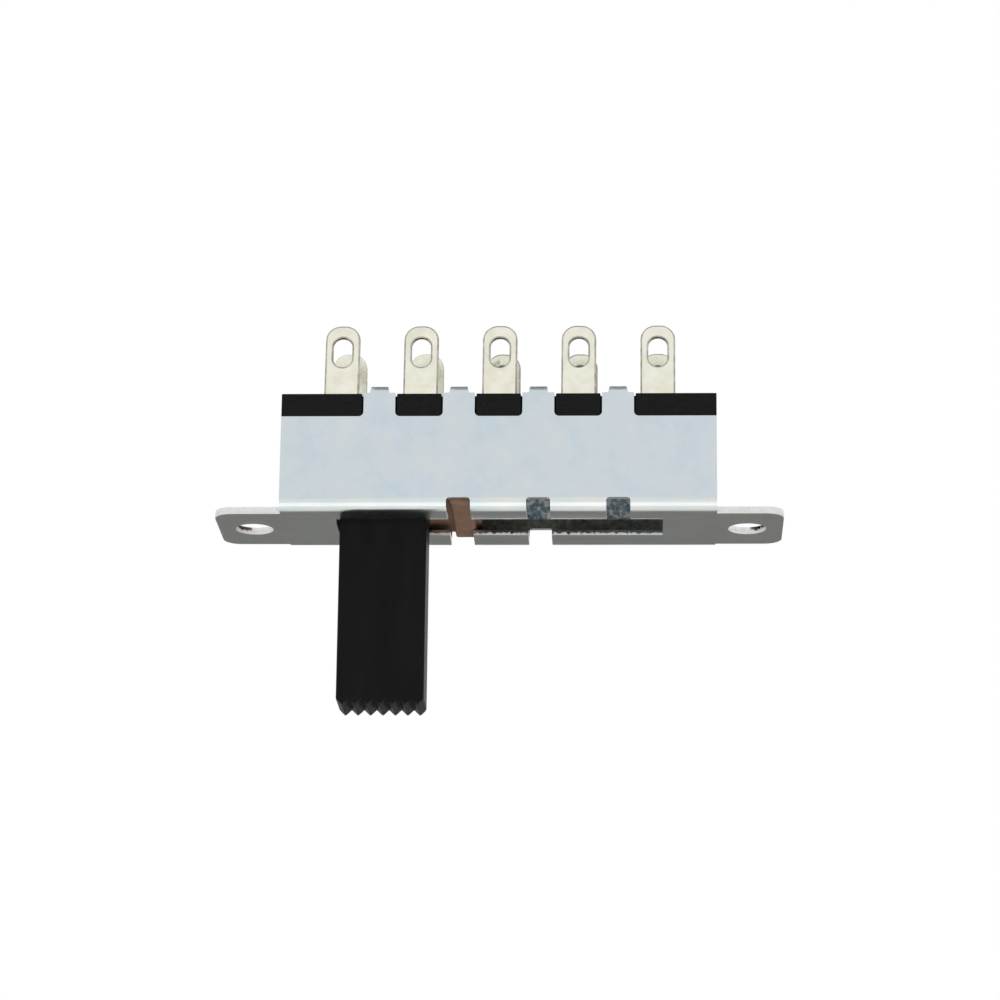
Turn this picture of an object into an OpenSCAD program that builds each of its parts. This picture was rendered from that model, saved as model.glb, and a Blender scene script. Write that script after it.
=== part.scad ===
// Panel-mount slide switch with two poles, solder lugs and a stepped slider, in millimetres.
// X runs along the travel, Y across the switch and Z towards the solder lugs.
// The origin is the middle of the panel plate's outer face, between the two screw holes.

/* [Switching] */
// Distance between neighbouring terminals, which is also one step of the slider
contact_pitch = 5; // [4.4:0.05:5.8]

/* [Frame] */
// Thickness of the sheet
sheet_t = 0.45; // [0.35:0.05:0.55]
// Length of the folded body
body_len = 27.35; // [25:0.05:30]
// Width of the body over both walls
body_w = 8.9; // [8.2:0.1:10]
// Height of the walls' top edge over the plate's outer face
wall_h = 6.1; // [5.9:0.05:7.2]
// Outer radius of the fold between plate and wall
fold_r = 0.85; // [0.7:0.05:1.1]
// Reach of each ear past the body
ear_reach = 4.2; // [4:0.1:5]
// Width of the ears
ear_w = 6.9; // [6.5:0.1:7]
// Corner radius of the ears
ear_corner_r = 1.1; // [0.5:0.1:1.5]
// Distance from the body's end to the middle of a screw hole
screw_offset = 1.95; // [1.7:0.05:2.4]
// Diameter of the screw holes
screw_d = 2.4; // [2:0.1:2.6]
// Width of the knob's slot
slot_w = 3.6; // [3.5:0.1:3.9]
// Width of the edge that punching rolled in along the slot
roll_w = 0.7; // [0.4:0.05:0.8]
// Depth of the rolled edge along the slot
roll_d = 0.12; // [0.05:0.01:0.15]
// Width of a detent notch
notch_w = 1.5; // [1.3:0.1:1.7]
// Height of a front detent notch up the wall
notch_rise = 0.78; // [0.6:0.01:1.2]
// Height of a rear detent notch up the wall
rear_notch_rise = 1.2; // [0.8:0.01:1.4]
// Corner radius of a detent notch
notch_corner_r = 0.22; // [0.1:0.02:0.3]
// Width of a crimp tab
tab_w = 2; // [1.8:0.1:2.2]
// Radius at the foot of a crimp tab
tab_foot_r = 0.3; // [0.1:0.05:0.4]
// Width of the tongue that is bent over the base
tongue_w = 1.25; // [0.9:0.05:1.5]
// Reach of the tongue over the base
tongue_reach = 1; // [0.6:0.1:1.3]
// Narrowing of the tongue towards its tip
tongue_taper = 0.4; // [0.2:0.05:0.6]
// Rise of the tongue over the base
tongue_lift = 0.15; // [0:0.05:0.3]
// Narrowing of the tongue at each side over its bend
tongue_side = 0.12; // [0.05:0.01:0.2]

/* [Terminals] */
// Thickness of the terminal base
base_t = 1.5; // [1.2:0.1:2]
// Distance from the body's side to the middle of a lug in the base
lug_inset = 1.2; // [1:0.05:1.4]
// Width of a solder lug
lug_w = 2.2; // [2:0.1:2.4]
// Thickness of the terminal strip
lug_t = 0.4; // [0.3:0.05:0.45]
// Height of a lug above the base
lug_h = 5; // [4:0.1:6]
// Lean of a lug's top towards the middle
lug_lean = 0.45; // [0:0.05:0.6]
// Radius of a lug's top corners
lug_corner_r = 0.95; // [0.6:0.05:0.95]
// Width of the lug's eye
eye_w = 1.2; // [1:0.1:1.5]
// Length of the lug's eye
eye_len = 2; // [1.6:0.1:2.4]
// Metal left above the eye
eye_top = 0.83; // [0.6:0.01:1]
// Length of the contact foot under the base
foot_len = 1.9; // [1.7:0.1:2]

/* [Slider] */
// Width of the knob along the travel
knob_w = 5.5; // [5:0.05:5.8]
// Length of the knob outside the plate
knob_len = 11.8; // [6:0.1:16]
// Number of teeth on the knob's tip
knob_teeth = 7; // [5:1:9]
// Height of the teeth
tooth_h = 0.38; // [0.2:0.02:0.5]
// Bevel on the front and rear edges of the tip
tip_bevel = 0.1; // [0.1:0.05:0.4]
// Radius of the knob's upright edges
knob_edge_r = 0.2; // [0.1:0.05:0.3]
// Depth of the knob's root in the carrier
root_len = 1.3; // [1:0.1:1.5]
// Height of a detent rib
rib_h = 0.45; // [0.35:0.05:0.6]
// Radius of a detent rib's edges
rib_edge_r = 0.25; // [0.1:0.05:0.3]
// Length of the carrier past its detent ribs
carrier_lip = 0.35; // [0.2:0.05:0.6]
// Bevel on the carrier's upright corners
carrier_edge = 0.25; // [0.1:0.05:0.3]
// Floor left between the knob's root and a spring pocket
pocket_floor = 0.5; // [0.4:0.05:0.7]

/* [Contacts] */
// Width of a contact shoe
shoe_w = 1.3; // [1.1:0.1:1.4]
// Thickness of a contact shoe
shoe_t = 0.3; // [0.2:0.05:0.4]
// Reach of a contact shoe past its two humps
shoe_tail = 1.1; // [0.9:0.1:1.3]
// Height of a hump on the shoe
hump_h = 0.35; // [0.25:0.05:0.45]
// Radius of a hump on the shoe
hump_r = 0.7; // [0.5:0.05:0.8]
// Outer diameter of a contact spring
spring_d = 1.5; // [1.3:0.1:1.6]
// Diameter of the spring wire
wire_d = 0.24; // [0.18:0.02:0.28]
// Free turns of a contact spring
spring_turns = 4; // [3:1:5]
// Height of the boss that centres the spring on its shoe
boss_h = 0.3; // [0.2:0.05:0.4]

/* [Clearances] */
// Gap between the knob and each end of the slot at the end of the travel
slot_end_gap = 0.05; // [0.05:0.01:0.15]
// Gap between the knob and each side of the slot
slot_side_gap = 0.15; // [0.1:0.01:0.2]
// Gap between a detent rib and each side of a notch
rib_gap = 0.05; // [0.03:0.01:0.08]
// Gap between the carrier and the body's end at the end of the travel
end_room = 0.1; // [0.05:0.01:0.3]
// Distance of the slider at rest from its first step
rest_play = 0.17; // [0:0.01:0.25]
// Gap between the carrier and each wall
side_gap = 0.12; // [0.08:0.01:0.2]
// Gap between the detent ribs and the plate they ride on
ride_gap = 0.03; // [0.02:0.01:0.06]
// Gap between a shoe's humps and the contact feet
contact_gap = 0.05; // [0.03:0.01:0.08]
// Gap around a terminal in its slot in the base
lug_gap = 0.02; // [0.01:0.01:0.04]
// Gap between a tab and its notch in the base
tab_gap = 0.1; // [0.08:0.01:0.14]
// Gap around a shoe in its channel
shoe_gap = 0.1; // [0.06:0.01:0.14]
// Gap around a spring in its pocket
spring_gap = 0.1; // [0.06:0.01:0.14]
// Gap between a spring and each of its seats
spring_seat_gap = 0.02; // [0.01:0.01:0.04]
// Room for a shoe to sink into its channel
shoe_travel = 0.4; // [0.3:0.05:0.5]

/* [Hidden] */
$fn = 48;

// Rows and steps
positions = 4;
lugs_per_row = positions + 1;
travel = (positions - 1) * contact_pitch;
rest_x = rest_play - travel / 2;

// Slider, which fills the body's length over its travel
rib_w = notch_w - 2 * rib_gap;
carrier_x = (body_len - travel) / 2 - end_room;
rib_x = carrier_x - carrier_lip - rib_w / 2;
inner_y = body_w / 2 - sheet_t;
carrier_y = inner_y - side_gap;
rib_z = sheet_t + ride_gap;
carrier_z = rib_z + rib_h;
root_z = carrier_z + root_len;
knob_d = slot_w - 2 * slot_side_gap;

// Frame
cut = 1;
slot_len = travel + knob_w + 2 * slot_end_gap;
screw_pitch = body_len + 2 * screw_offset;
base_top = wall_h + base_t;
// The tongue's inner bend ends where the base's notch begins
tongue_bend_r = tab_gap;
tongue_low = base_top + tongue_lift - tongue_bend_r;
tongue_top = base_top + tongue_lift + sheet_t;

// Terminals
lug_top = base_top + lug_h;
lug_y = body_w / 2 - lug_inset;
foot_z = wall_h - lug_t;
foot_outer_y = lug_y + lug_t / 2;
foot_inner_y = foot_outer_y - foot_len;

// Contacts, stacked downwards from the feet
shoe_y = (foot_inner_y + foot_outer_y - lug_t) / 2;
shoe_x = contact_pitch / 2 + shoe_tail;
hump_z = foot_z - contact_gap;
shoe_top = hump_z - hump_h;
shoe_z = shoe_top - shoe_t;
channel_z = shoe_z - shoe_travel;
carrier_top = shoe_top - shoe_t / 3;
pocket_z = root_z + pocket_floor;
boss_d = spring_d - 2 * wire_d - spring_gap;

function step_x(k) = (k - 1) * contact_pitch - travel / 2;
function lug_x(i) = (i - (lugs_per_row + 1) / 2) * contact_pitch;

// Shared shapes

// Rectangle with two rounded corners along its upper edge, standing on y = 0
module round_top(w, h, r) {
    translate([-w / 2, 0]) square([w, h - r]);
    translate([-w / 2 + r, h - 2 * r]) square([w - 2 * r, 2 * r]);
    for (s = [-1, 1])
        translate([s * (w / 2 - r), h - r]) circle(r);
}

// Rectangle with four rounded corners about the origin
module round_rect(w, d, r) {
    square([w - 2 * r, d], center = true);
    square([w, d - 2 * r], center = true);
    for (sx = [-1, 1], sy = [-1, 1])
        translate([sx * (w / 2 - r), sy * (d / 2 - r)]) circle(r);
}

// Extrudes a shape drawn in X and Z along Y, over a length about y = 0
module along_y(length) {
    rotate([90, 0, 0]) translate([0, 0, -length / 2]) linear_extrude(length) children();
}

// Extrudes a shape drawn in Y and Z along X, over a length about x = 0
module along_x(length) {
    rotate([90, 0, 90]) translate([0, 0, -length / 2]) linear_extrude(length) children();
}

// Turns what is drawn for the rear side into its front copy
module front_side() {
    mirror([0, 1, 0]) children();
}

// Folded frame

// Outline of the folded sheet's outside or inside, open at the top
module fold_outline(half_w, floor_z, r, top_z) {
    translate([-half_w, floor_z + r]) square([2 * half_w, top_z - floor_z - r]);
    translate([-half_w + r, floor_z]) square([2 * (half_w - r), r]);
    for (s = [-1, 1])
        translate([s * (half_w - r), floor_z + r]) circle(r);
}

module channel_profile() {
    difference() {
        fold_outline(body_w / 2, 0, fold_r, tongue_low);
        fold_outline(inner_y, sheet_t, fold_r - sheet_t, tongue_top);
    }
}

// Both ears with their screw holes
module ear_outline() {
    difference() {
        round_rect(body_len + 2 * ear_reach, ear_w, ear_corner_r);
        square([body_len, ear_w + cut], center = true);
        for (s = [-1, 1])
            translate([s * screw_pitch / 2, 0]) circle(d = screw_d);
    }
}

// Openings above the walls' top edge, which leave the tabs standing
module window_cut() {
    tab_room = contact_pitch - tab_w;
    side_room = (body_len - travel - tab_w) / 2 + cut;
    for (i = [1 : positions - 1])
        translate([(step_x(i) + step_x(i + 1)) / 2, wall_h]) window_outline(tab_room);
    for (s = [-1, 1])
        translate([s * (travel + tab_w + side_room) / 2, wall_h]) window_outline(side_room);
}

module window_outline(w) {
    h = base_t + cut;
    translate([0, h]) mirror([0, 1]) round_top(w, h, tab_foot_r);
}

// Tongue bent over the base, drawn for the rear wall
module tongue_profile() {
    bend_y = inner_y - tongue_bend_r;
    translate([bend_y, tongue_low]) intersection() {
        difference() {
            circle(tongue_bend_r + sheet_t);
            circle(tongue_bend_r);
        }
        square(tongue_bend_r + sheet_t);
    }
    translate([bend_y - tongue_reach, base_top + tongue_lift]) square([tongue_reach, sheet_t]);
}

module tongue_plan() {
    root_y = body_w / 2;
    tip_y = inner_y - tongue_bend_r - tongue_reach;
    tip_w = tongue_w - tongue_taper;
    polygon([[-tongue_w / 2, root_y], [-tip_w / 2, tip_y], [tip_w / 2, tip_y], [tongue_w / 2, root_y]]);
}

// Tongue seen from the front, narrower at its top
module tongue_face() {
    high_w = tongue_w - 2 * tongue_side;
    polygon([[-tongue_w / 2, tongue_low], [tongue_w / 2, tongue_low], [high_w / 2, tongue_top],
        [-high_w / 2, tongue_top]]);
}

module tongue() {
    intersection() {
        along_x(tab_w) tongue_profile();
        translate([0, 0, tongue_low]) linear_extrude(tongue_top - tongue_low) tongue_plan();
        along_y(body_w) tongue_face();
    }
}

// Notch through the plate strip, the fold and the foot of the rear wall
module notch_cut(x, rise) {
    depth = body_w / 2 - slot_w / 2 + 2 * cut;
    translate([x, slot_w / 2 + depth / 2 - cut, -cut])
        along_y(depth) round_top(notch_w, rise + cut, notch_corner_r);
}

// Slope of the rolled edge along the rear side of the slot
module roll_cut() {
    along_x(slot_len)
        polygon([[slot_w / 2 - cut, -cut], [slot_w / 2 - cut, roll_d], [slot_w / 2, roll_d],
            [slot_w / 2 + roll_w, 0], [slot_w / 2 + roll_w, -cut]]);
}

module frame() {
    color([0.72, 0.77, 0.8]) {
        difference() {
            union() {
                along_x(body_len) channel_profile();
                linear_extrude(sheet_t) ear_outline();
            }
            along_y(body_w + 2 * cut) window_cut();
            translate([0, 0, -cut]) linear_extrude(sheet_t + 2 * cut)
                square([slot_len, slot_w], center = true);
            roll_cut();
            front_side() roll_cut();
            // At each step one rib stands over a notch, the right rib in front and the left rib at the rear
            for (k = [1 : positions - 1]) front_side() notch_cut(step_x(k) + rib_x, notch_rise);
            for (k = [2 : positions]) notch_cut(step_x(k) - rib_x, rear_notch_rise);
        }
        for (k = [1 : positions]) {
            translate([step_x(k), 0, 0]) tongue();
            translate([step_x(k), 0, 0]) front_side() tongue();
        }
    }
}

// Terminal base

module base_outline() {
    notch_depth = sheet_t + tab_gap;
    difference() {
        square([body_len, body_w], center = true);
        for (k = [1 : positions], s = [-1, 1])
            translate([step_x(k), s * (body_w / 2 - notch_depth / 2 + cut / 2)])
                square([tab_w + 2 * tab_gap, notch_depth + cut], center = true);
        for (i = [1 : lugs_per_row], s = [-1, 1])
            translate([lug_x(i), s * lug_y])
                square([lug_w + 2 * lug_gap, lug_t + 2 * lug_gap], center = true);
    }
}

module terminal_base() {
    color([0.11, 0.11, 0.12])
        translate([0, 0, wall_h]) linear_extrude(base_t) base_outline();
}

// Terminals

// Strip seen from the end: a standing lug with its foot bent towards the middle
module terminal_profile() {
    polygon([[foot_outer_y - lug_t, wall_h], [foot_outer_y, wall_h], [foot_outer_y, base_top],
        [foot_outer_y - lug_lean, lug_top], [foot_outer_y - lug_lean - lug_t, lug_top],
        [foot_outer_y - lug_t, base_top]]);
    translate([foot_inner_y, foot_z]) square([foot_len - lug_t, lug_t]);
    translate([foot_outer_y - lug_t, wall_h]) intersection() {
        circle(lug_t);
        translate([0, -lug_t]) square(lug_t);
    }
}

// Strip seen from the front: rounded top and oblong eye
module terminal_face() {
    eye_r = eye_w / 2;
    eye_z = lug_top - eye_top - eye_r;
    difference() {
        translate([0, foot_z]) round_top(lug_w, lug_top - foot_z, lug_corner_r);
        translate([0, eye_z]) circle(eye_r);
        translate([-eye_r, eye_z - eye_len + eye_w]) square([eye_w, eye_len - eye_w]);
        translate([0, eye_z - eye_len + eye_w]) circle(eye_r);
    }
}

module terminal(i) {
    color([0.9, 0.89, 0.83]) translate([lug_x(i), 0, 0]) intersection() {
        along_x(lug_w) terminal_profile();
        along_y(body_w) terminal_face();
    }
}

// Slider, drawn with its middle at x = 0

module rib_profile() {
    translate([0, carrier_z]) mirror([0, 1]) round_top(rib_w, rib_h, rib_edge_r);
}

// Cross rib whose ends are rounded to clear the inside of the fold
module rib() {
    intersection() {
        along_y(2 * carrier_y) rib_profile();
        along_x(rib_w) fold_outline(carrier_y, rib_z, fold_r - sheet_t, carrier_top);
    }
}

module carrier_plan() {
    polygon([[-carrier_x, -carrier_y + carrier_edge], [-carrier_x + carrier_edge, -carrier_y],
        [carrier_x - carrier_edge, -carrier_y], [carrier_x, -carrier_y + carrier_edge],
        [carrier_x, carrier_y - carrier_edge], [carrier_x - carrier_edge, carrier_y],
        [-carrier_x + carrier_edge, carrier_y], [-carrier_x, carrier_y - carrier_edge]]);
}

module slider_carrier() {
    color([0.4, 0.31, 0.25]) translate([rest_x, 0, 0]) difference() {
        union() {
            translate([0, 0, carrier_z]) linear_extrude(carrier_top - carrier_z) carrier_plan();
            for (s = [-1, 1])
                translate([s * rib_x, 0, 0]) rib();
        }
        translate([0, 0, rib_z - cut]) linear_extrude(root_z - rib_z + cut)
            round_rect(knob_w, knob_d, knob_edge_r);
        for (s = [-1, 1]) {
            translate([0, s * shoe_y, channel_z]) linear_extrude(carrier_top - channel_z + cut)
                square([2 * (shoe_x + shoe_gap), shoe_w + 2 * shoe_gap], center = true);
            translate([0, s * shoe_y, pocket_z])
                cylinder(d = spring_d + 2 * spring_gap, h = channel_z - pocket_z + cut);
        }
    }
}

// Knob seen from the front, with the teeth along its lower edge
module knob_face() {
    tooth_w = knob_w / knob_teeth;
    root_line = -knob_len + tooth_h;
    difference() {
        translate([-knob_w / 2, -knob_len]) square([knob_w, knob_len + root_z]);
        for (i = [0 : knob_teeth])
            translate([-knob_w / 2 + i * tooth_w, root_line])
                polygon([[-tooth_w / 2, -tooth_h], [tooth_w / 2, -tooth_h], [0, 0]]);
    }
}

// Knob seen from the end, with its bevelled tip
module knob_side() {
    half = knob_d / 2;
    polygon([[-half, root_z], [-half, -knob_len + tip_bevel], [-half + tip_bevel, -knob_len],
        [half - tip_bevel, -knob_len], [half, -knob_len + tip_bevel], [half, root_z]]);
}

module knob() {
    color([0.1, 0.1, 0.11]) translate([rest_x, 0, 0]) intersection() {
        along_y(knob_d) knob_face();
        along_x(knob_w) knob_side();
        translate([0, 0, -knob_len]) linear_extrude(knob_len + root_z) round_rect(knob_w, knob_d, knob_edge_r);
    }
}

// Contacts

// Shoe seen from the front: a strip with two round humps
module shoe_profile() {
    translate([-shoe_x, shoe_z]) square([2 * shoe_x, shoe_t]);
    for (s = [-1, 1])
        translate([s * contact_pitch / 2, 0]) intersection() {
            translate([0, hump_z - hump_r]) circle(hump_r);
            translate([-hump_r, shoe_top]) square([2 * hump_r, hump_h]);
        }
}

module contact_shoe() {
    color([0.78, 0.68, 0.5]) translate([rest_x, shoe_y, 0]) {
        along_y(shoe_w) shoe_profile();
        translate([0, 0, shoe_z - boss_h]) cylinder(d = boss_d, h = boss_h);
    }
}

// Rings of the spring wire: closed end turns with open turns between them
SPRING_STEPS = 16;
WIRE_SIDES = 8;
END_TURNS = 1;
// Neighbouring end turns lie a little apart
end_pitch = 1.15 * wire_d;
coil_len = shoe_z - pocket_z - 2 * spring_seat_gap - wire_d;
open_len = coil_len - 2 * END_TURNS * end_pitch;

function spring_rise(turn) =
    let (open = min(max(turn - END_TURNS, 0), spring_turns) / spring_turns)
    let (closed = min(turn, END_TURNS) + max(turn - END_TURNS - spring_turns, 0))
    pocket_z + spring_seat_gap + wire_d / 2 + closed * end_pitch + open * open_len;

function wire_ring(j) =
    let (turn = j / SPRING_STEPS)
    let (coil_r = (spring_d - wire_d) / 2)
    [for (s = [0 : WIRE_SIDES - 1])
        let (a = 360 * s / WIRE_SIDES)
        let (r = coil_r + wire_d / 2 * cos(a))
        [r * cos(360 * turn), r * sin(360 * turn), spring_rise(turn) + wire_d / 2 * sin(a)]];

module contact_spring() {
    rings = SPRING_STEPS * (spring_turns + 2 * END_TURNS);
    points = [for (j = [0 : rings]) each wire_ring(j)];
    sides = [for (j = [0 : rings - 1], s = [0 : WIRE_SIDES - 1])
        let (n = (s + 1) % WIRE_SIDES)
        [j * WIRE_SIDES + s, j * WIRE_SIDES + n, (j + 1) * WIRE_SIDES + n, (j + 1) * WIRE_SIDES + s]];
    start = [for (s = [WIRE_SIDES - 1 : -1 : 0]) s];
    end = [for (s = [0 : WIRE_SIDES - 1]) rings * WIRE_SIDES + s];
    color([0.75, 0.75, 0.76]) translate([rest_x, shoe_y, 0])
        polyhedron(points = points, faces = concat([start], sides, [end]), convexity = 8);
}

frame();
terminal_base();
for (i = [1 : lugs_per_row]) {
    front_side() terminal(i);
    terminal(i);
}
slider_carrier();
knob();
front_side() contact_shoe();  // contact_shoe_front
contact_shoe();  // contact_shoe_rear
front_side() contact_spring();  // contact_spring_front
contact_spring();  // contact_spring_rear
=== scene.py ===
import math

import bmesh
import bpy
from mathutils import Matrix, Vector


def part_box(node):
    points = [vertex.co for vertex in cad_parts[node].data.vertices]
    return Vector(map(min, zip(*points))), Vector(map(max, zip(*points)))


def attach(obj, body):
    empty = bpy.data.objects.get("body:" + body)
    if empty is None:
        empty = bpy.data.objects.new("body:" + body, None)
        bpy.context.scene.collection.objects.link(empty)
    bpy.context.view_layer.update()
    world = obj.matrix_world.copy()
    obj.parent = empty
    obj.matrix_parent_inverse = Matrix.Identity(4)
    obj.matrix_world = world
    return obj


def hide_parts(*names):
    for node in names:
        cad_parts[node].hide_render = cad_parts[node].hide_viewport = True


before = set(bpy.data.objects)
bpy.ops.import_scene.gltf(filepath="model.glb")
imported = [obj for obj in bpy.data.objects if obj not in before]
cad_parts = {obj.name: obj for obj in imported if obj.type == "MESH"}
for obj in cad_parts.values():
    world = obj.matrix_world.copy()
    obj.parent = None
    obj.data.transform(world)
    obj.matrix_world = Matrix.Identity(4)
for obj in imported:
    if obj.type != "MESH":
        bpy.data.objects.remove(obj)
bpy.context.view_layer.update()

MM = 0.001

# Camera: where the switch is seen from, a little below the panel plate

IMAGE_W = 1000
SENSOR_W = 36.0
FOCAL_PX = 3700
CAMERA_AT = Vector((9.70, -225.19, -65.22)) * MM
CAMERA_PITCH = 0.2895
CAMERA_YAW = -0.0432
CAMERA_ROLL = 0.0110
NEAREST_SEEN = 0.005
FARTHEST_SEEN = 20.0


def add_camera():
    forward = Vector((
        math.sin(CAMERA_YAW) * math.cos(CAMERA_PITCH),
        math.cos(CAMERA_YAW) * math.cos(CAMERA_PITCH),
        math.sin(CAMERA_PITCH),
    ))
    right = Vector((math.cos(CAMERA_YAW), -math.sin(CAMERA_YAW), 0.0))
    up = right.cross(forward)
    turned_right = math.cos(CAMERA_ROLL) * right + math.sin(CAMERA_ROLL) * up
    turned_up = math.cos(CAMERA_ROLL) * up - math.sin(CAMERA_ROLL) * right
    pose = Matrix((turned_right, turned_up, -forward)).transposed().to_4x4()
    pose.translation = CAMERA_AT
    lens = bpy.data.cameras.new("camera")
    lens.sensor_width = SENSOR_W
    lens.lens = FOCAL_PX * SENSOR_W / IMAGE_W
    lens.clip_start = NEAREST_SEEN
    lens.clip_end = FARTHEST_SEEN
    camera = bpy.data.objects.new("camera", lens)
    camera.matrix_world = pose
    bpy.context.scene.collection.objects.link(camera)
    bpy.context.scene.camera = camera


# Patterns that the finishes are built from, on the piece's own coordinates in metres

# Most of a cloudy pattern's values lie between these two
CLOUD_LOW = 0.35
CLOUD_HIGH = 0.65
# Sockets of the node that mixes two colours
MIX_AMOUNT = 0
MIX_FIRST = 6
MIX_SECOND = 7
MIX_COLOUR = 2


def start_finish(name):
    finish = bpy.data.materials.new(name)
    finish.use_nodes = True
    return finish, finish.node_tree, finish.node_tree.nodes["Principled BSDF"]


def surface_place(tree, stretch=(1.0, 1.0, 1.0)):
    place = tree.nodes.new("ShaderNodeTexCoord")
    mapping = tree.nodes.new("ShaderNodeMapping")
    mapping.inputs["Scale"].default_value = stretch
    tree.links.new(place.outputs["Object"], mapping.inputs["Vector"])
    return mapping.outputs["Vector"]


def cloudy(tree, place, grain_mm, detail, rough):
    noise = tree.nodes.new("ShaderNodeTexNoise")
    noise.inputs["Scale"].default_value = 1.0 / (grain_mm * MM)
    noise.inputs["Detail"].default_value = detail
    noise.inputs["Roughness"].default_value = rough
    tree.links.new(place, noise.inputs["Vector"])
    return noise.outputs["Fac"]


def shades(tree, amount, stops):
    ramp = tree.nodes.new("ShaderNodeValToRGB")
    while len(ramp.color_ramp.elements) < len(stops):
        ramp.color_ramp.elements.new(0.5)
    for element, (at, colour) in zip(ramp.color_ramp.elements, stops):
        element.position = at
        element.color = (*colour, 1.0)
    tree.links.new(amount, ramp.inputs["Fac"])
    return ramp.outputs["Color"]


def between(tree, amount, low, high, low_at=CLOUD_LOW, high_at=CLOUD_HIGH):
    spread = tree.nodes.new("ShaderNodeMapRange")
    spread.inputs["From Min"].default_value = low_at
    spread.inputs["From Max"].default_value = high_at
    spread.inputs["To Min"].default_value = low
    spread.inputs["To Max"].default_value = high
    tree.links.new(amount, spread.inputs["Value"])
    return spread.outputs["Result"]


def by_mask(tree, mask, off, on):
    """One number where a mask is nought and another where it is one."""
    return between(tree, mask, off, on, low_at=0.0, high_at=1.0)


def mixed(tree, amount, first, second):
    mix = tree.nodes.new("ShaderNodeMix")
    mix.data_type = "RGBA"
    tree.links.new(amount, mix.inputs[MIX_AMOUNT])
    tree.links.new(first, mix.inputs[MIX_FIRST])
    tree.links.new(second, mix.inputs[MIX_SECOND])
    return mix.outputs[MIX_COLOUR]


def worked(tree, operation, first, second=None):
    """A step of arithmetic on one value, or on two, where the second may be a plain number."""
    step = tree.nodes.new("ShaderNodeMath")
    step.operation = operation
    tree.links.new(first, step.inputs[0])
    if isinstance(second, float):
        step.inputs[1].default_value = second
    elif second is not None:
        tree.links.new(second, step.inputs[1])
    return step.outputs["Value"]


def added(tree, first, second):
    return worked(tree, "ADD", first, second)


def times(tree, first, second):
    return worked(tree, "MULTIPLY", first, second)


def axis_of(tree, place, axis):
    axes = tree.nodes.new("ShaderNodeSeparateXYZ")
    tree.links.new(place, axes.inputs["Vector"])
    return axes.outputs[axis]


def relief(tree, shader, height, depth_mm):
    bump = tree.nodes.new("ShaderNodeBump")
    bump.inputs["Strength"].default_value = 1.0
    bump.inputs["Distance"].default_value = depth_mm * MM
    tree.links.new(height, bump.inputs["Height"])
    tree.links.new(bump.outputs["Normal"], shader.inputs["Normal"])


# Finishes of the folded frame

SHEET_MM = 0.45
INSIDE_EDGE_MM = 0.02
INSIDE_ROUGHER = 0.3
INSIDE_METALLIC = 0.25
GRAIN_SHARE = 0.4
# Painted shade: inside, the foot of the walls is painted darker below these heights, so that
# through the slot it looks darker than what shows in the notches
PAINTED_SHADE_LOW_MM = 1.74
PAINTED_SHADE_HIGH_MM = 1.90
# A punched edge is smooth next to the inside of the sheet, and torn and pale next to the outside
RAGGED_MM = 0.60
TORN_LOW_MM = 0.52
TORN_HIGH_MM = 0.58


def inside_sheet(tree, place):
    """One on the inner faces of the folded sheet and nought outside."""
    base_low, base_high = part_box("terminal_base")
    across = worked(tree, "ABSOLUTE", axis_of(tree, place, "Y"))
    along = worked(tree, "ABSOLUTE", axis_of(tree, place, "X"))
    height = axis_of(tree, place, "Z")
    edge = INSIDE_EDGE_MM * MM
    walls = worked(tree, "LESS_THAN", across, base_high.y - SHEET_MM * MM + edge)
    ends = worked(tree, "LESS_THAN", along, base_high.x)
    floor = worked(tree, "GREATER_THAN", height, SHEET_MM * MM - edge)
    top = worked(tree, "LESS_THAN", height, base_low.z + edge)
    return times(tree, times(tree, walls, ends), times(tree, floor, top))


def zinc_plate():
    finish, tree, shader = start_finish("zinc_plate")
    place = surface_place(tree)
    inside = inside_sheet(tree, place)
    blotches = cloudy(tree, place, grain_mm=2.2, detail=4.0, rough=0.6)
    tint = shades(tree, blotches, [
        (0.32, (0.545, 0.625, 0.675)),
        (0.50, (0.585, 0.650, 0.690)),
        (0.68, (0.625, 0.660, 0.680)),
    ])
    spangle = cloudy(tree, place, grain_mm=0.45, detail=4.0, rough=0.7)
    # The inner faces' own spangled colour, shown above the painted shade
    spangled_inside = shades(tree, spangle, [
        (0.40, (0.150, 0.235, 0.310)),
        (0.52, (0.430, 0.550, 0.650)),
        (0.60, (0.920, 0.940, 0.950)),
    ])
    # Painted shade: the dark colour given to the inner faces at the foot of the walls
    dark = shades(tree, spangle, [
        (0.35, (0.060, 0.068, 0.062)),
        (0.70, (0.190, 0.200, 0.185)),
    ])
    # Painted shade below these heights inside, the spangled colour above them
    above_painted_shade = between(tree, axis_of(tree, place, "Z"), 0.0, 1.0, PAINTED_SHADE_LOW_MM * MM, PAINTED_SHADE_HIGH_MM * MM)
    dull = mixed(tree, above_painted_shade, dark, spangled_inside)
    tree.links.new(mixed(tree, inside, tint, dull), shader.inputs["Base Color"])
    lengthwise = surface_place(tree, stretch=(0.12, 1.0, 1.0))
    rolled = cloudy(tree, lengthwise, grain_mm=0.35, detail=3.0, rough=0.6)
    grain = cloudy(tree, place, grain_mm=0.16, detail=2.0, rough=0.5)
    sheen = between(tree, rolled, low=0.17, high=0.27)
    roughness = added(tree, sheen, times(tree, inside, INSIDE_ROUGHER))
    tree.links.new(roughness, shader.inputs["Roughness"])
    relief(tree, shader, added(tree, rolled, times(tree, grain, GRAIN_SHARE)), depth_mm=0.0012)
    tree.links.new(by_mask(tree, inside, off=1.0, on=INSIDE_METALLIC), shader.inputs["Metallic"])
    return finish


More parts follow.
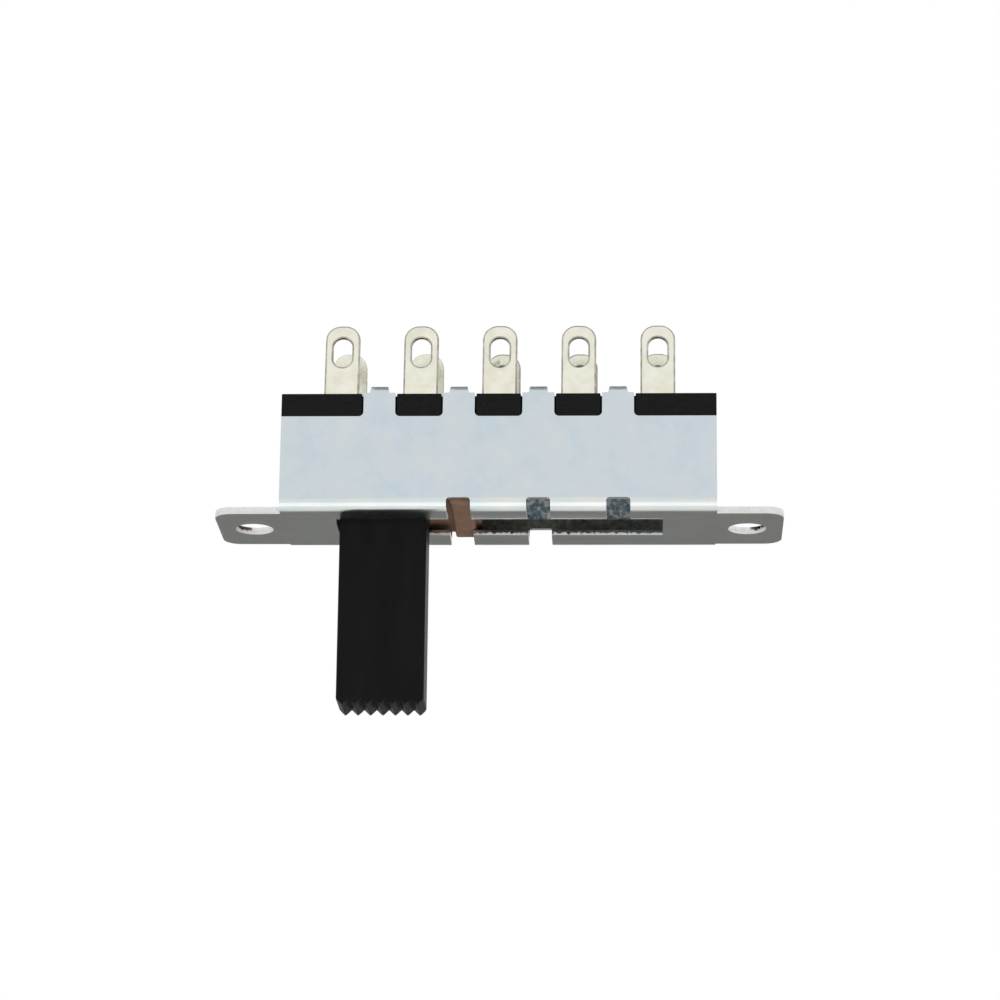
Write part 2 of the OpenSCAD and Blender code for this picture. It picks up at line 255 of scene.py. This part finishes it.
def sheared_zinc():
    finish, tree, shader = start_finish("sheared_zinc")
    place = surface_place(tree)
    blotches = cloudy(tree, place, grain_mm=0.30, detail=3.0, rough=0.6)
    height = added(tree, axis_of(tree, place, "Z"), times(tree, blotches, RAGGED_MM * MM))
    smooth = between(tree, height, 0.0, 1.0, TORN_LOW_MM * MM, TORN_HIGH_MM * MM)
    torn = shades(tree, blotches, [
        (0.32, (0.860, 0.870, 0.880)),
        (0.68, (0.930, 0.935, 0.940)),
    ])
    rubbed = shades(tree, blotches, [
        (0.32, (0.640, 0.685, 0.715)),
        (0.68, (0.720, 0.750, 0.775)),
    ])
    tree.links.new(mixed(tree, smooth, torn, rubbed), shader.inputs["Base Color"])
    tree.links.new(by_mask(tree, smooth, off=0.10, on=1.00), shader.inputs["Metallic"])
    tree.links.new(by_mask(tree, smooth, off=0.55, on=0.20), shader.inputs["Roughness"])
    upright = surface_place(tree, stretch=(1.0, 1.0, 0.2))
    streaks = cloudy(tree, upright, grain_mm=0.14, detail=2.0, rough=0.6)
    relief(tree, shader, streaks, depth_mm=0.00015)
    return finish


# Finishes of the lugs, the base, the slider and the contacts


def tinned_face():
    finish, tree, shader = start_finish("tinned_face")
    place = surface_place(tree)
    blotches = cloudy(tree, place, grain_mm=0.9, detail=3.0, rough=0.55)
    tint = shades(tree, blotches, [
        (0.35, (0.760, 0.735, 0.610)),
        (0.52, (0.800, 0.790, 0.680)),
        (0.70, (0.840, 0.835, 0.740)),
    ])
    tree.links.new(tint, shader.inputs["Base Color"])
    grain = cloudy(tree, place, grain_mm=0.14, detail=3.0, rough=0.6)
    tree.links.new(between(tree, grain, low=0.18, high=0.26), shader.inputs["Roughness"])
    relief(tree, shader, added(tree, blotches, grain), depth_mm=0.0014)
    shader.inputs["Metallic"].default_value = 1.0
    return finish


def tinned_edge():
    finish, tree, shader = start_finish("tinned_edge")
    place = surface_place(tree)
    blotches = cloudy(tree, place, grain_mm=0.5, detail=3.0, rough=0.6)
    tint = shades(tree, blotches, [
        (0.32, (0.300, 0.285, 0.240)),
        (0.52, (0.440, 0.425, 0.370)),
        (0.70, (0.600, 0.585, 0.520)),
    ])
    tree.links.new(tint, shader.inputs["Base Color"])
    through = surface_place(tree, stretch=(1.0, 0.3, 1.0))
    torn = cloudy(tree, through, grain_mm=0.08, detail=2.0, rough=0.6)
    tree.links.new(between(tree, torn, low=0.36, high=0.55), shader.inputs["Roughness"])
    relief(tree, shader, torn, depth_mm=0.003)
    shader.inputs["Metallic"].default_value = 1.0
    return finish


def black_laminate():
    finish, tree, shader = start_finish("black_laminate")
    flat = surface_place(tree, stretch=(0.12, 0.12, 1.0))
    layers = cloudy(tree, flat, grain_mm=0.09, detail=2.0, rough=0.6)
    body = shades(tree, layers, [
        (0.35, (0.0100, 0.0104, 0.0118)),
        (0.65, (0.0165, 0.0167, 0.0187)),
    ])
    scuffs = cloudy(tree, surface_place(tree), grain_mm=0.55, detail=4.0, rough=0.7)
    worn = shades(tree, scuffs, [
        (0.30, (0.0150, 0.0150, 0.0160)),
        (0.70, (0.0450, 0.0440, 0.0430)),
    ])
    scuffed = between(tree, scuffs, 0.0, 1.0, low_at=0.66, high_at=0.76)
    tree.links.new(mixed(tree, scuffed, body, worn), shader.inputs["Base Color"])
    tree.links.new(between(tree, layers, low=0.42, high=0.60), shader.inputs["Roughness"])
    relief(tree, shader, added(tree, layers, scuffs), depth_mm=0.003)
    shader.inputs["Specular IOR Level"].default_value = 0.05
    return finish


def black_plastic():
    finish, tree, shader = start_finish("black_plastic")
    upright = surface_place(tree, stretch=(1.0, 1.0, 0.25))
    flow = cloudy(tree, upright, grain_mm=1.6, detail=3.0, rough=0.55)
    tint = shades(tree, flow, [
        (0.35, (0.0060, 0.0060, 0.0071)),
        (0.65, (0.0092, 0.0092, 0.0106)),
    ])
    tree.links.new(tint, shader.inputs["Base Color"])
    grain = cloudy(tree, surface_place(tree), grain_mm=0.12, detail=3.0, rough=0.6)
    tree.links.new(between(tree, grain, low=0.40, high=0.54), shader.inputs["Roughness"])
    relief(tree, shader, added(tree, flow, grain), depth_mm=0.0022)
    shader.inputs["Specular IOR Level"].default_value = 0.07
    return finish


def brown_phenolic():
    finish, tree, shader = start_finish("brown_phenolic")
    place = surface_place(tree)
    flecks = cloudy(tree, place, grain_mm=0.45, detail=4.0, rough=0.65)
    tint = shades(tree, flecks, [
        (0.30, (0.142, 0.082, 0.053)),
        (0.50, (0.168, 0.100, 0.067)),
        (0.72, (0.199, 0.123, 0.085)),
    ])
    tree.links.new(tint, shader.inputs["Base Color"])
    grain = cloudy(tree, place, grain_mm=0.10, detail=3.0, rough=0.6)
    tree.links.new(between(tree, grain, low=0.42, high=0.60), shader.inputs["Roughness"])
    relief(tree, shader, added(tree, flecks, grain), depth_mm=0.003)
    shader.inputs["Specular IOR Level"].default_value = 0.3
    return finish


def contact_bronze():
    finish, tree, shader = start_finish("contact_bronze")
    tarnish = cloudy(tree, surface_place(tree), grain_mm=0.8, detail=4.0, rough=0.6)
    tint = shades(tree, tarnish, [
        (0.32, (0.480, 0.330, 0.160)),
        (0.68, (0.690, 0.530, 0.310)),
    ])
    tree.links.new(tint, shader.inputs["Base Color"])
    lengthwise = surface_place(tree, stretch=(0.1, 1.0, 1.0))
    drawn = cloudy(tree, lengthwise, grain_mm=0.12, detail=3.0, rough=0.6)
    tree.links.new(between(tree, drawn, low=0.22, high=0.36), shader.inputs["Roughness"])
    relief(tree, shader, drawn, depth_mm=0.001)
    shader.inputs["Metallic"].default_value = 1.0
    return finish


def spring_wire():
    finish, tree, shader = start_finish("spring_wire")
    place = surface_place(tree)
    tarnish = cloudy(tree, place, grain_mm=0.5, detail=3.0, rough=0.6)
    tint = shades(tree, tarnish, [
        (0.32, (0.400, 0.405, 0.410)),
        (0.68, (0.600, 0.605, 0.610)),
    ])
    tree.links.new(tint, shader.inputs["Base Color"])
    drawn = cloudy(tree, place, grain_mm=0.06, detail=2.0, rough=0.6)
    tree.links.new(between(tree, drawn, low=0.20, high=0.34), shader.inputs["Roughness"])
    relief(tree, shader, drawn, depth_mm=0.0006)
    shader.inputs["Metallic"].default_value = 1.0
    return finish


# Pieces: each is its solid, and all but the springs get the small edge radius that stamping or
# moulding leaves

MERGE = 0.0004 * MM
FLAT_ANGLE = math.radians(0.6)
EDGE_ANGLE = math.radians(34)
EDGE_SEGMENTS = 3
EVEN_WEIGHT = 50
FRAME_EDGE_MM = 0.11
LUG_EDGE_MM = 0.11
BASE_EDGE_MM = 0.06
KNOB_EDGE_MM = 0.045
CARRIER_EDGE_MM = 0.07
SHOE_EDGE_MM = 0.05
LUGS_PER_ROW = 5
# Places of the two finishes of a stamped piece, on its faces and where it was cut
PLATED = 0
CUT = 1
# How far a face's direction goes along an axis, where a face half turned to it has 0.5
HALF_TURNED = 0.5
HARDLY_TURNED = 0.1
LUG_FACE_TURNED = 0.05
LUG_SIDE_TURNED = 0.01


def merged_copy(node):
    """A copy of a node's solid, with its loose triangles joined."""
    shape = bmesh.new()
    shape.from_mesh(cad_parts[node].data)
    bmesh.ops.remove_doubles(shape, verts=shape.verts, dist=MERGE)
    return shape


def solid_copy(node):
    """A merged copy of a node's solid, with its flat faces whole."""
    shape = merged_copy(node)
    bmesh.ops.dissolve_limit(shape, angle_limit=FLAT_ANGLE, verts=shape.verts, edges=shape.edges)
    return shape


def ease_edges(shape, radius_mm):
    """Rounds every sharp edge of a solid, and gives the faces that the rounding made."""
    sharp = [e for e in shape.edges if e.is_manifold and e.calc_face_angle() > EDGE_ANGLE]
    made = bmesh.ops.bevel(
        shape, geom=sharp, offset=radius_mm * MM, offset_type="OFFSET", affect="EDGES",
        segments=EDGE_SEGMENTS, profile=0.5, material=-1, clamp_overlap=True, loop_slide=False,
        miter_outer="ARC", miter_inner="SHARP",
    )
    return made["faces"]


def place_piece(shape, node, body, finishes):
    mesh = bpy.data.meshes.new(node + "_dressed")
    shape.to_mesh(mesh)
    shape.free()
    for finish in finishes:
        mesh.materials.append(finish)
    mesh.shade_smooth()
    piece = bpy.data.objects.new(node + "_dressed", mesh)
    bpy.context.scene.collection.objects.link(piece)
    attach(piece, body)
    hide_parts(node)
    return piece


def even_faces(piece):
    """Lets the large flat faces of a piece keep their shading beside its rounded edges."""
    even = piece.modifiers.new("even_faces", "WEIGHTED_NORMAL")
    even.mode = "FACE_AREA"
    even.weight = EVEN_WEIGHT


def dress(node, body, finish, radius_mm):
    shape = solid_copy(node)
    ease_edges(shape, radius_mm)
    even_faces(place_piece(shape, node, body, [finish]))


def is_sheared(side):
    """Whether a face of the frame lies across the sheet, where the punch cut it."""
    at = side.calc_center_median()
    if abs(side.normal.x) > HALF_TURNED:
        return True
    if abs(side.normal.z) < HALF_TURNED:
        return at.z < SHEET_MM * MM and abs(at.y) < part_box("frame")[1].y - 2 * SHEET_MM * MM
    return side.normal.z < 0 and abs(side.normal.y) < HARDLY_TURNED and at.z > SHEET_MM / 2 * MM


def dress_frame(node, plate, sheared):
    """The folded sheet, whose cut faces are rougher than its plated ones."""
    shape = solid_copy(node)
    for side in shape.faces:
        side.material_index = CUT if is_sheared(side) else PLATED
    ease_edges(shape, FRAME_EDGE_MM)
    even_faces(place_piece(shape, node, "housing", [plate, sheared]))


def dress_terminal(node, face, edge):
    """A lug whose cut edges are darker than its tinned faces."""
    shape = solid_copy(node)
    foot_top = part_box("terminal_base")[0].z
    for side in shape.faces:
        in_foot = side.calc_center_median().z < foot_top
        on_face = in_foot or abs(side.normal.y) > LUG_FACE_TURNED
        side.material_index = PLATED if on_face and abs(side.normal.x) < LUG_SIDE_TURNED else CUT
    for side in ease_edges(shape, LUG_EDGE_MM):
        side.material_index = CUT
    even_faces(place_piece(shape, node, "housing", [face, edge]))


def dress_spring(node, finish):
    """A coil of round wire, with smooth faces."""
    place_piece(merged_copy(node), node, "slider", [finish])


def build_switch():
    dress_frame("frame", zinc_plate(), sheared_zinc())
    dress("terminal_base", "housing", black_laminate(), BASE_EDGE_MM)
    face = tinned_face()
    edge = tinned_edge()
    for row in ("front", "rear"):
        for i in range(1, LUGS_PER_ROW + 1):
            dress_terminal(f"terminal_{row}_{i}", face, edge)
    dress("slider_carrier", "slider", brown_phenolic(), CARRIER_EDGE_MM)
    dress("knob", "slider", black_plastic(), KNOB_EDGE_MM)
    bronze = contact_bronze()
    wire = spring_wire()
    for row in ("front", "rear"):
        dress(f"contact_shoe_{row}", "slider", bronze, SHOE_EDGE_MM)
        dress_spring(f"contact_spring_{row}", wire)


# Studio: pale floor below, grey card overhead, soft light from the front, white all round

FLOOR_AT = Vector((0.0, 0.0, -220.0)) * MM
FLOOR_HALF = Vector((2.5, 2.5, 1.0))
FLOOR_CELLS = 8
CARD_AT = Vector((0.0, 150.0, 700.0)) * MM
CARD_HALF = Vector((0.15, 0.55, 1.0))
CARD_CELLS = 2
MATT = 0.9
AMBIENT = 0.34
WHITE = (1.0, 1.0, 1.0, 1.0)
# Watts per square metre of lamp for a brightness of 1
LAMP_POWER = 4.0


def matt_paper(name, grain_mm, dark, light):
    """A dull finish with a slight haze from one shade to another."""
    finish, tree, shader = start_finish(name)
    haze = cloudy(tree, surface_place(tree), grain_mm, detail=2.0, rough=0.5)
    tint = shades(tree, haze, [(0.3, dark), (0.7, light)])
    tree.links.new(tint, shader.inputs["Base Color"])
    shader.inputs["Roughness"].default_value = MATT
    shader.inputs["Specular IOR Level"].default_value = 0.0
    return finish


def flat_paper(name, half, at, cells, finish):
    shape = bmesh.new()
    bmesh.ops.create_grid(shape, x_segments=cells, y_segments=cells, size=1.0)
    bmesh.ops.scale(shape, verts=shape.verts, vec=half)
    bmesh.ops.translate(shape, verts=shape.verts, vec=at)
    mesh = bpy.data.meshes.new(name)
    shape.to_mesh(mesh)
    shape.free()
    mesh.materials.append(finish)
    paper = bpy.data.objects.new(name, mesh)
    bpy.context.scene.collection.objects.link(paper)
    return paper


def add_floor():
    finish = matt_paper("pale_floor", 60.0, dark=(0.68, 0.645, 0.59), light=(0.70, 0.665, 0.61))
    floor = flat_paper("floor", FLOOR_HALF, FLOOR_AT, FLOOR_CELLS, finish)


def add_card():
    """A grey card overhead, which the tops of the tongues and lugs mirror."""
    finish = matt_paper("grey_card", 80.0, dark=(0.50, 0.50, 0.50), light=(0.56, 0.56, 0.56))
    card = flat_paper("card", CARD_HALF, CARD_AT, CARD_CELLS, finish)


def white_light(tree, strength):
    light = tree.nodes.new("ShaderNodeBackground")
    light.inputs["Color"].default_value = WHITE
    light.inputs["Strength"].default_value = strength
    return light.outputs["Background"]


def add_world():
    """White to look at and in mirrors, with a softer light on the pieces."""
    world = bpy.data.worlds.new("studio")
    world.use_nodes = True
    bpy.context.scene.world = world
    tree = world.node_tree
    tree.nodes.clear()
    rays = tree.nodes.new("ShaderNodeLightPath")
    shown = rays.outputs["Is Camera Ray"]
    for kind in ("Is Glossy Ray", "Is Transmission Ray"):
        shown = worked(tree, "MAXIMUM", shown, rays.outputs[kind])
    mix = tree.nodes.new("ShaderNodeMixShader")
    tree.links.new(shown, mix.inputs["Fac"])
    tree.links.new(white_light(tree, AMBIENT), mix.inputs[1])
    tree.links.new(white_light(tree, 1.0), mix.inputs[2])
    out = tree.nodes.new("ShaderNodeOutputWorld")
    tree.links.new(mix.outputs["Shader"], out.inputs["Surface"])


def add_lamp(name, at_mm, aim_mm, width, height, radiance):
    """A flat soft lamp, whose power gives its surface the brightness asked for."""
    light = bpy.data.lights.new(name, "AREA")
    light.shape = "RECTANGLE"
    light.size = width
    light.size_y = height
    light.energy = radiance * LAMP_POWER * width * height
    lamp = bpy.data.objects.new(name, light)
    lamp.location = Vector(at_mm) * MM
    aim = Vector(aim_mm) * MM - lamp.location
    lamp.rotation_mode = "QUATERNION"
    lamp.rotation_quaternion = aim.to_track_quat("-Z", "Y")
    bpy.context.scene.collection.objects.link(lamp)


def add_lamps():
    add_lamp(
        "floor_lamp", at_mm=(0, -1140, -160), aim_mm=(0, -1140, -220),
        width=5.00, height=2.56, radiance=1.06,
    )
    add_lamp(
        "front_lamp", at_mm=(0, -130, -185), aim_mm=(0, 0, 0),
        width=0.20, height=0.14, radiance=0.33,
    )


bpy.context.scene.view_settings.view_transform = "Standard"
add_camera()
build_switch()
add_floor()
add_card()
add_world()
add_lamps()
